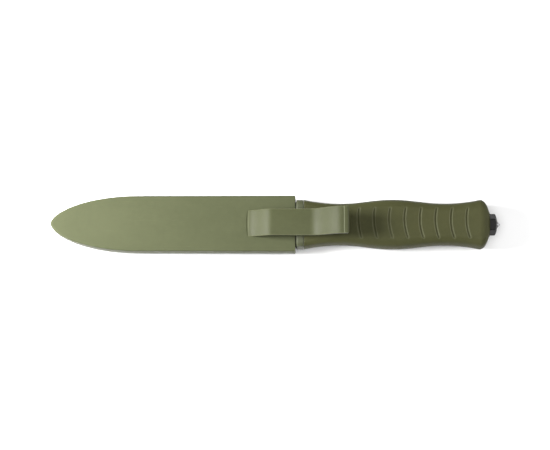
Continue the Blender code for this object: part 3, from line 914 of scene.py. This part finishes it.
@dataclass
class BeltClip:
    """The sprung tongue moulded on the front shell, left attached to no body here."""

    # Given as a darker copy of the sheath's nylon: painted shade.
    nylon: Moulded
    thickness: float = 2.8 * MM
    height: float = 7.9 * MM
    rise: float = 15.2 * MM
    lead: float = 0.8 * MM
    flare_start: float = 39.5 * MM
    flare: float = 21.0 * MM
    flare_height: float = 12.0 * MM
    edge: float = 0.55 * MM
    sink: float = 0.5 * MM
    root_sink: float = 0.05 * MM
    bead: float = 0.45 * MM
    bead_start: float = 61.0 * MM
    tip_corner: float = 1.3 * MM

    def outer(self, along: float) -> float:
        """Height of the outer face over the sheath's face at a distance from the root."""
        share = smooth((along + self.lead) / (self.rise + self.lead))
        height = -self.root_sink + (self.height + self.root_sink) * share
        height += self.flare_height * smooth((along - self.flare_start) / self.flare)
        return height + self.bead * smooth((along - self.bead_start) / (0.6 * MM))

    def build(self) -> None:
        """Loft the tongue from rounded sections square to its outer face."""
        low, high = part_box("belt_clip")
        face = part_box("sheath_front_shell")[1].z
        length = high.x - low.x
        fine = between(0.0, self.rise, 26) + between(self.rise, self.flare_start, 12)[1:]
        fine += between(self.flare_start, self.bead_start - 0.2 * MM, 34)[1:]
        fine += between(self.bead_start, self.bead_start + 0.7 * MM, 5)
        fine += [length - self.tip_corner * (1 - math.sin(angle)) for angle in between(0.0, math.pi / 2, 7)]
        rings = []
        for along in fine:
            small = 0.05 * MM
            slope = (self.outer(along + small) - self.outer(along - small)) / (2 * small)
            if along > self.bead_start - MM:
                slope = 0.0
            size = math.hypot(1.0, slope)
            left = max(self.tip_corner - (length - along), 0.0)
            narrow = self.tip_corner - math.sqrt(max(self.tip_corner ** 2 - left ** 2, 0.0))
            wide = high.y * (1 + 0.02 * smooth((along - self.flare_start) / self.flare)) - narrow
            thick = self.thickness + self.bead * smooth((along - self.bead_start) / (0.6 * MM))
            slim = min(narrow * 0.55, thick * 0.3)
            ring = []
            for y, z in rounded_box(wide, thick / 2 - slim, self.edge, 5):
                down = thick / 2 - z
                ring.append((low.x + along + down * slope / size, y,
                             face + max(self.outer(along) - down / size, -self.sink)))
            rings.append(ring)
        clip = loft("belt_tongue", rings)
        dress(clip, "belt_clip", Body.CLIP, self.nylon.make(), ride=False)
        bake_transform(clip)


@dataclass
class Grip:
    """Collar, hard core and the rubber sleeve with its curved grooves."""

    form: GripForm
    rubber: Moulded
    collar: Moulded
    core: Moulded
    rubber_wall: float = 3.0 * MM
    gap: float = 0.3 * MM
    groove_count: int = 8
    groove_pitch: float = 10.0 * MM
    groove_first: float = 40.4 * MM
    groove_radius: float = 33.0 * MM
    groove_tilt: float = math.radians(4.0)
    groove_reach: float = 9.8 * MM
    groove_half: float = 0.5 * MM
    groove_depth: float = 0.5 * MM
    lip: float = 0.12 * MM
    lip_offset: float = 0.95 * MM
    least_hole: float = 6.93 * MM
    slot: Flat = (8.3 * MM, 1.8 * MM)
    slot_corner: float = 0.4 * MM
    stud_bore: float = 4.3 * MM
    tail_length: float = 20 * MM
    tail_cover: float = 2.3 * MM
    key_depth: float = 0.5 * MM
    key_pitch: float = 9 * MM

    def groove_at(self, x: float, y: float) -> tuple[float, float]:
        """How the grooves change the flat face.

        Args:
            x: Place from the mouth.
            y: Place across.

        Returns:
            The height change, and the share of paler lip there, which is partly wear and partly a painted
            highlight.
        """
        if abs(y) > self.groove_reach + MM:
            return 0.0, 0.0
        bow = self.groove_radius - math.sqrt(self.groove_radius ** 2 - y * y) - y * math.tan(self.groove_tilt)
        share = (x - self.groove_first - bow) / self.groove_pitch
        nearest = min(max(round(share), 0), self.groove_count - 1)
        away = abs(share - nearest) * self.groove_pitch
        fade = smooth((self.groove_reach + 0.5 * MM - abs(y)) / (1.2 * MM))
        trench = 1 - smooth((away - self.groove_half * 0.5) / (self.groove_half * 0.9))
        lip = math.exp(-((away - self.lip_offset) / (0.18 * MM)) ** 2)
        return fade * (self.lip * lip - self.groove_depth * trench), fade * lip

    def make_sleeve(self) -> None:
        """The rubber sleeve: outer skin with grooves, domed end, nut hole and inner skin."""
        low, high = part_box("grip_sleeve")
        form = self.form
        start, flare, end = low.x - form.mouth_x, form.stations[4], high.x - form.mouth_x
        groove_end = self.groove_first + self.groove_pitch * (self.groove_count - 1) + 3.5 * MM
        places = between(start, self.groove_first - 1.6 * MM, 40)
        places += between(self.groove_first - 1.4 * MM, groove_end, 390) + between(groove_end, flare, 10)[1:]
        rings, wear = [], []
        for inset, x in ((0.12 * MM, start), (0.03 * MM, start + 0.05 * MM), (0.0, start + 0.15 * MM)):
            rings.append(form.ring(x, inset))
        for x in places[1:]:
            rings.append(form.ring(x))
        for share in (0.12, 0.24, 0.36, 0.48, 0.58, 0.67, 0.75, 0.82, 0.88, 0.93):
            rings.append(form.ring(flare + (end - flare) * share, 0.0, (1 - share ** form.dome_power) ** 0.5))
        count = len(rings[0])
        hole, recess, step = self.rear_sizes()
        for x, radius in ((end - 0.35 * MM, hole + 0.5 * MM), (end - 0.5 * MM, hole), (step, hole),
                          (step, recess), (self.core_end(), recess)):
            rings.append(self.matched_circle(form.mouth_x + x, radius, count))
        inner = between(self.core_end(), start + 0.4 * MM, 40)
        rings += [form.ring(x, self.rubber_wall - self.gap) for x in inner]
        rings.append(form.ring(start, self.rubber_wall - self.gap - 0.3 * MM))
        lifted = []
        for ring in rings:
            row = []
            for x, y, z in ring:
                outside = abs(z - form.axis_z) > form.contour(x - form.mouth_x, form.half_depths) - 0.6 * MM
                # The lip share paints the groove lips paler: partly wear, partly a painted highlight.
                lift, worn = self.groove_at(x - form.mouth_x, y) if outside else (0.0, 0.0)
                row.append((x, y, z + lift * math.copysign(1.0, z - form.axis_z)))
                wear.append(worn)
            lifted.append(row)
        sleeve = loft("rubber_sleeve", lifted, tube=True)
        # The extra wear on the groove lips is partly a painted highlight.
        dress(sleeve, "grip_sleeve", Body.TOOL, self.rubber.make(), 40.0, wear)

    def rear_sizes(self) -> tuple[float, float, float]:
        """Radius of the nut hole and the washer recess, and where the recess ends."""
        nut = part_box("pommel_nut")
        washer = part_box("pommel_washer")
        spring_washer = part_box("spring_washer")
        corner = (nut[1].y - nut[0].y) / 2
        return (max(corner, self.least_hole) + 2 * self.gap, washer[1].y + self.gap,
                spring_washer[0].x - self.form.mouth_x)

    def core_end(self) -> float:
        """Where the core ends, from the mouth."""
        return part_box("grip_core")[1].x - self.form.mouth_x + 0.05 * MM

    def matched_circle(self, x: float, radius: float, count: int) -> Ring:
        """A circle whose points face those of the grip's sections, starting at the -Y side."""
        return across(x, [(-y, z) for y, z in circle(radius, count)], self.form.axis_z)

    def make_collar(self) -> None:
        """The hard collar: rounded edges and the slot for the tang."""
        low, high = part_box("guard_collar")
        axis_z = self.form.axis_z
        section = self.form.ring(high.x - self.form.mouth_x)
        front = ((-0.4, 1.3), (-0.3, 1.2), (-0.03, 1.2), (0.0, 0.6), (0.1, 0.3), (0.32, 0.08), (0.6, 0.0))
        rear = ((-0.1, 0.0), (-0.02, 0.03), (0.0, 0.1))
        rings = []
        for face, edge in ((low.x, front), (high.x, rear)):
            for shift, inset in edge:
                deep = 1 - inset * MM / self.form.half_depths[0]
                wide = 1 - inset * MM / self.form.half_widths[0]
                rings.append([(face + shift * MM, y * wide, axis_z + (z - axis_z) * deep)
                              for _, y, z in section])
        collar = loft("hard_collar", rings)
        cut_slot(collar, (low.x - MM, high.x + MM), self.slot, self.slot_corner, axis_z)
        dress(collar, "guard_collar", Body.TOOL, self.collar.make())

    def make_core(self) -> None:
        """The hard core under the rubber, with keying grooves round it, tang slot and stud bore."""
        low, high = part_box("grip_core")
        rings = []
        for x in between(low.x - self.form.mouth_x, high.x - self.form.mouth_x, 150):
            key = self.key_depth * smooth((math.cos(math.tau * x / self.key_pitch) - 0.6) / 0.3)
            rings.append(self.form.ring(x, self.rubber_wall + key))
        core = loft("hard_core", rings)
        slot_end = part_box("digging_blade")[1].x - self.tail_length + self.tail_cover
        cut_slot(core, (low.x - MM, slot_end), self.slot, self.slot_corner, self.form.axis_z)
        bore = turned("bore", [(slot_end - MM, 0.0), (slot_end - MM, self.stud_bore),
                               (high.x + MM, self.stud_bore), (high.x + MM, 0.0)], self.form.axis_z)
        combine(core, bore)
        dress(core, "grip_core", Body.TOOL, self.core.make())

    def build(self) -> None:
        """Make the whole grip."""
        self.make_collar()
        self.make_core()
        self.make_sleeve()


@dataclass
class Blade:
    """The dished blade with ground edges, saw teeth and flat tang."""

    steel: BladeSteel
    axis_z: float
    shoulder: float
    thickness: float = 2.5 * MM
    edge: float = 0.35 * MM
    grind: float = 3.6 * MM
    dish: float = 2.6 * MM
    nose: float = 54.0 * MM
    ricasso: float = 3.0 * MM
    runout: float = 12.0 * MM
    tooth_pitch: float = 5.0 * MM
    tooth_depth: float = 1.6 * MM
    tooth_count: int = 13
    tooth_lean: float = 0.72
    tooth_start: float = 22.0 * MM
    tang_half: float = 8.0 * MM
    tang_thickness: float = 3.0 * MM
    tail_half: float = 3.0 * MM
    tail_length: float = 20.0 * MM
    across: int = 18

    def section(self, x: float, left: float, right: float, grind: float, dish: float, thick: float) -> Ring:
        """One section of blade or tang.

        Args:
            x: Where it lies.
            left: Half width towards -Y.
            right: Half width towards +Y.
            grind: Share of the edge grind, 0 on the tang.
            dish: Share of the dish.
            thick: Thickness of the middle.

        Returns:
            The ring, over the top and back under the bottom.
        """
        top, bottom = [], []
        full = max(left, right)
        for index in range(-self.across, self.across + 1):
            share = index / self.across
            share = math.copysign(1 - (1 - abs(share)) ** 1.4, share)
            y = share * (left if share < 0 else right)
            inward = max((full if index > 0 else left) - abs(y), 0.0)
            middle = self.axis_z - self.dish / 2 * dish + self.dish * dish * (y / self.half_width) ** 2
            thin = 1 - smooth(inward / self.grind) ** 0.8 if inward < self.grind else 0.0
            half = thick / 2 - grind * thin * (thick - self.edge) / 2
            if abs(index) == self.across:
                half *= 0.6
            top.append((x, y, middle + half))
            bottom.append((x, y, middle - half))
        return top + bottom[::-1]

    def build(self) -> None:
        """Loft blade and tang in one piece."""
        low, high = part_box("digging_blade")
        self.half_width = high.y
        outline = SpearOutline(low.x, self.shoulder, high.y, self.nose, high.y)
        saw_end = self.shoulder - 0.35 * MM - self.tooth_start
        saw_start = saw_end - self.tooth_count * self.tooth_pitch
        places = [low.x + 0.15 * MM + self.nose * (index / 50) ** 1.8 for index in range(51)]
        places = [x for x in places if x < saw_start]
        places += between(places[-1], saw_start, 4)[1:-1] + between(saw_start, saw_end, self.tooth_count * 20)
        places += between(saw_end, self.shoulder - 0.6 * MM, 60)[1:]
        rings = []
        for x in places:
            half = outline.half(x)
            phase = (x - saw_start) / self.tooth_pitch % 1.0
            inside = saw_start < x < saw_end
            bite = self.tooth_depth * min(phase / self.tooth_lean, (1 - phase) / (1 - self.tooth_lean))
            bite = bite if inside else 0.0
            flatten = smooth((self.shoulder - self.ricasso - x) / self.runout)
            rings.append(self.section(x, half, half - bite, smooth((self.shoulder - 4 * MM - x) / (5 * MM)),
                                      flatten, self.thickness))
        tail_start = high.x - self.tail_length
        half = outline.half(self.shoulder)
        rings.append(self.section(self.shoulder - 0.3 * MM, half, half, 0.0, 0.0, self.thickness))
        half -= 0.3 * MM
        rings.append(self.section(self.shoulder, half, half, 0.0, 0.0, self.thickness - 0.4 * MM))
        for x, size, thick in ((self.shoulder + 0.02 * MM, self.tang_half, self.tang_thickness),
                               (tail_start, self.tang_half, self.tang_thickness),
                               (tail_start + 2 * MM, self.tail_half, self.tang_thickness),
                               (high.x - 0.4 * MM, self.tail_half, self.tang_thickness),
                               (high.x, self.tail_half - 0.4 * MM, self.tang_thickness - 0.6 * MM)):
            rings.append(self.section(x, size, size, 0.0, 0.0, thick))
        blade = loft("dished_blade", rings)
        dress(blade, "digging_blade", Body.TOOL, self.steel.make(), 28.0)


@dataclass
class Pommel:
    """Stud, washers, domed hex nut and carbide point, all on the tool's axis."""

    axis_z: float
    black: Metal
    carbide: Metal
    zinc: Metal
    stud: Metal
    flats: float = 12.4 * MM
    bore: float = 4.3 * MM
    nut_turn: float = math.radians(6.0)
    dome: float = 2.5 * MM
    dome_flat: float = 2.9 * MM
    thread_pitch: float = 1.25 * MM
    thread_depth: float = 0.6 * MM

    def make_stud(self) -> None:
        """The threaded stud, slotted for the tang's tail."""
        low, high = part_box("tang_stud")
        radius = high.y
        plain = low.x + 11 * MM
        rings = []
        for x in between(low.x, high.x, 220):
            ring = []
            for index in range(44):
                angle = math.tau * index / 44
                turn = (x / self.thread_pitch + index / 44) % 1.0
                tooth = 1 - abs(2 * turn - 1)
                cut = self.thread_depth * tooth * smooth((x - plain) / MM)
                end = min(x - low.x, high.x - x)
                size = radius - cut - max(0.5 * MM - end, 0.0)
                ring.append((x, size * math.cos(angle), self.axis_z + size * math.sin(angle)))
            rings.append(ring)
        stud = loft("threaded_stud", rings)
        cut_slot(stud, (low.x - MM, low.x + 10 * MM), (6 * MM, 1.8 * MM), 0.3 * MM, self.axis_z)
        dress(stud, "tang_stud", Body.TOOL, self.stud.make())

    def make_washers(self) -> None:
        """The plain washer and the split spring washer."""
        zinc = self.zinc.make()
        low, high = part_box("pommel_washer")
        soft = 0.15 * MM
        profile = [(low.x, high.y - soft), (low.x + soft, high.y), (high.x - soft, high.y),
                   (high.x, high.y - soft), (high.x, self.bore + soft), (high.x - soft, self.bore),
                   (low.x + soft, self.bore), (low.x, self.bore + soft)]
        washer = turned("plain_washer", profile, self.axis_z)
        dress(washer, "pommel_washer", Body.TOOL, zinc)
        low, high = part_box("spring_washer")
        middle = (self.bore + high.y) / 2
        half_wide, rings = (high.y - self.bore) / 2, []
        for share in between(0.0, 1.0, 72):
            angle = math.pi / 2 - math.radians(4 + 352 * share)
            shift = 0.25 * MM * (share - 0.5)
            centre = (low.x + high.x) / 2 + shift
            rings.append([(centre + a, (middle + b) * math.sin(angle),
                           self.axis_z + (middle + b) * math.cos(angle))
                          for a, b in rounded_box((high.x - low.x) / 2 - 0.15 * MM, half_wide, 0.2 * MM, 3)])
        dress(loft("split_washer", rings), "spring_washer", Body.TOOL, zinc)

    def make_nut(self) -> None:
        """The hex nut: softened corners, domed end, thread bore and the point's seat."""
        low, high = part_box("pommel_nut")
        corner = self.flats / math.sqrt(3)
        hexagon = []
        for index in range(6):
            middle = math.tau * index / 6 + self.nut_turn
            for turn in (-0.045, -0.02, 0.0, 0.02, 0.045):
                size = self.flats / 2 / math.cos(math.pi / 6 - abs(turn)) - 0.16 * MM * (1 - abs(turn) / 0.05)
                hexagon.append((size * math.cos(middle + turn), size * math.sin(middle + turn)))
        nut = loft("domed_nut", [across(x, hexagon, self.axis_z) for x in (low.x, high.x + MM)])
        reach = corner + 0.3 * MM
        depth = self.dome / math.sqrt(1 - (self.dome_flat / reach) ** 2)
        profile = [(low.x - MM, 0.0), (low.x - MM, reach - 1.2 * MM), (low.x, reach - 0.7 * MM),
                   (low.x + 0.6 * MM, reach)]
        for place in between(0.0, self.dome, 14):
            profile.append((high.x - self.dome + place, reach * math.sqrt(1 - (place / depth) ** 2)))
        profile.append((high.x, 0.0))
        combine(nut, turned("envelope", profile, self.axis_z, 96), Cut.KEEP_COMMON)
        bore_end = high.x - 2.9 * MM
        bore = [(low.x - MM, 0.0), (low.x - MM, self.bore + 1.5 * MM), (low.x + 0.5 * MM, self.bore),
                (bore_end, self.bore), (bore_end, 1.8 * MM), (high.x - 0.3 * MM, 1.8 * MM),
                (high.x + 0.7 * MM, 2.6 * MM), (high.x + 0.7 * MM, 0.0)]
        combine(nut, turned("bore", bore, self.axis_z, 72))
        dress(nut, "pommel_nut", Body.TOOL, self.black.make(), 24.0)

    def make_point(self) -> None:
        """The ground carbide cone with its shank."""
        low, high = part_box("breaker_point")
        radius, shank = high.y, 1.5 * MM
        base = high.x - 1.8 * MM
        tip = 0.25 * MM
        profile = [(low.x, 0.0), (low.x, shank - 0.2 * MM), (low.x + 0.2 * MM, shank),
                   (base - 0.25 * MM, shank), (base - 0.25 * MM, radius - 0.1 * MM),
                   (base - 0.1 * MM, radius), (base + 0.1 * MM, radius - 0.05 * MM),
                   (high.x - tip, radius * 0.17), (high.x - tip * 0.35, radius * 0.1), (high.x, 0.0)]
        dress(turned("carbide_point", profile, self.axis_z), "breaker_point", Body.TOOL,
              self.carbide.make())

    def build(self) -> None:
        """Make the whole pommel."""
        self.make_stud()
        self.make_washers()
        self.make_nut()
        self.make_point()


@dataclass
class Studio:
    """Pale floor, soft lights and the camera."""

    elevation: float = math.radians(82.5)
    distance: float = 1.6
    frame_width: float = 356.7 * MM
    shift: float = 0.35 * MM
    sensor: float = 36.0
    floor_colour: Colour = (0.85, 0.85, 0.85)
    world: float = 0.28
    lamps: list[tuple[str, Point, float, float]] = field(default_factory=lambda: [
        ("key", (-0.34, 0.02, 0.25), 0.16, 5.7),
        ("fill", (0.00, -0.10, 0.90), 0.60, 4.5),
        ("rim", (0.50, 0.00, 0.32), 0.30, 1.6)])

    def build(self) -> None:
        """Set the stage round the object."""
        low, high = CAD_BOX
        low, high = Vector(low), Vector(high)
        middle_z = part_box("sheath_front_shell")[1].z / 2
        target = Vector(((low.x + high.x) / 2 - self.shift, -self.shift / 2, middle_z))
        self.make_floor(low.z)
        for name, place, size, power in self.lamps:
            self.make_lamp(name, Vector(place) + Vector((target.x, 0, 0)), size, power, target)
        world = bpy.data.worlds.new("studio")
        bpy.context.scene.world = world
        world.use_nodes = True
        world.node_tree.nodes["Background"].inputs["Color"].default_value = (1, 1, 1, 1)
        world.node_tree.nodes["Background"].inputs["Strength"].default_value = self.world
        bpy.context.scene.view_settings.view_transform = "Standard"
        camera = bpy.data.cameras.new("camera")
        camera.sensor_width = self.sensor
        camera.lens = self.sensor * self.distance / self.frame_width
        camera.clip_start = 0.01
        seen = bpy.data.objects.new("camera", camera)
        bpy.context.scene.collection.objects.link(seen)
        away = Vector((0.0, -math.cos(self.elevation), math.sin(self.elevation)))
        seen.location = target + away * self.distance
        seen.rotation_euler = (math.pi / 2 - self.elevation, 0.0, 0.0)
        bpy.context.scene.camera = seen

    def make_floor(self, height: float) -> None:
        """A wide pale floor under the object."""
        shape = bmesh.new()
        bmesh.ops.create_grid(shape, x_segments=1, y_segments=1, size=2.0)
        floor = shape_object("floor", shape)
        floor.location.z = height - 0.05 * MM
        material = bpy.data.materials.new("pale_floor")
        material.use_nodes = True
        shader = material.node_tree.nodes["Principled BSDF"]
        shader.inputs["Base Color"].default_value = (*self.floor_colour, 1.0)
        shader.inputs["Roughness"].default_value = 0.9
        floor.data.materials.append(material)

    def make_lamp(self, name: str, place: Vector, size: float, power: float, target: Vector) -> None:
        """One square soft box aimed at the object.

        Args:
            name: Its name.
            place: Where it hangs.
            size: Length of its side.
            power: Watts.
            target: What it faces.
        """
        lamp = bpy.data.lights.new(name, "AREA")
        lamp.size = size
        lamp.energy = power
        made = bpy.data.objects.new(name, lamp)
        bpy.context.scene.collection.objects.link(made)
        made.location = place
        made.rotation_euler = (target - place).to_track_quat("-Z", "Y").to_euler()


def main() -> None:
    """Build every sub-assembly and the studio."""
    logging.basicConfig(level=logging.INFO, format="%(message)s")
    olive = Moulded("olive_nylon", (0.055, 0.0605, 0.0285), (0.049, 0.0545, 0.025), (0.135, 0.143, 0.08),
                    roughness=0.6, specular=0.15)
    # Painted shade: the clip's nylon is a darker copy of the sheath's olive nylon, standing in for the weaker
    # light that falls on the clip.
    shaded_clip_olive = Moulded("olive_nylon_clip_painted_shade", (0.048, 0.0525, 0.0225), (0.043, 0.047, 0.020),
                         (0.135, 0.143, 0.08), roughness=0.5, specular=0.14)
    throat = Moulded("dark_nylon", (0.022, 0.024, 0.016), (0.016, 0.017, 0.012), (0.07, 0.07, 0.055))
    rubber = Moulded("olive_rubber", (0.043, 0.044, 0.0150), (0.037, 0.038, 0.0125), (0.10, 0.104, 0.06),
                     roughness=0.62, grain=0.22 * MM, grain_depth=0.16 * MM, wear=0.45, specular=0.16)
    hard_olive = Moulded("hard_olive", (0.048, 0.052, 0.027), (0.043, 0.047, 0.023), (0.14, 0.147, 0.10),
                         wear=0.15, specular=0.2)
    core = Moulded("core_nylon", (0.05, 0.055, 0.04), (0.04, 0.045, 0.03), (0.12, 0.12, 0.1))
    strip = Metal("spring_strip", (0.55, 0.55, 0.56), (0.45, 0.45, 0.46), (0.75, 0.75, 0.76),
                  lines=(40.0, 1.0, 1.0))
    brass = Metal("rivet_brass", (0.60, 0.46, 0.22), (0.45, 0.34, 0.17), (0.8, 0.66, 0.38))
    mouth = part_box("sheath_front_shell")[1]
    blade_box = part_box("digging_blade")
    steel = BladeSteel("blade_steel", (0.38, 0.38, 0.39), (0.30, 0.30, 0.305), (0.52, 0.52, 0.53),
                       roughness=0.3, lines=(1.0, 60.0, 30.0), first_mark=blade_box[0].x + 20 * MM,
                       last_mark=blade_box[0].x + 130 * MM)
    black = Metal("black_oxide", (0.003, 0.003, 0.0027), (0.002, 0.002, 0.002), (0.02, 0.02, 0.02),
                  roughness=0.34, metallic=0.0, wear=0.4, specular=0.14, lines=(30.0, 1.0, 1.0))
    carbide = Metal("ground_carbide", (0.30, 0.30, 0.31), (0.22, 0.22, 0.23), (0.40, 0.40, 0.41),
                    roughness=0.25)
    zinc = Metal("zinc_plate", (0.62, 0.62, 0.60), (0.5, 0.5, 0.47), (0.8, 0.8, 0.8))
    stud = Metal("turned_steel", (0.48, 0.48, 0.48), (0.38, 0.38, 0.38), (0.7, 0.7, 0.7))
    axis_z = mouth.z / 2
    Studio().build()
    Sheath(olive, throat, strip, brass).build()
    BeltClip(shaded_clip_olive).build()
    form = GripForm(mouth.x, axis_z)
    Grip(form, rubber, hard_olive, core).build()
    Blade(steel, axis_z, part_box("guard_collar")[0].x - 0.3 * MM).build()
    Pommel(axis_z, black, carbide, zinc, stud).build()


if __name__ == "__main__":
    main()
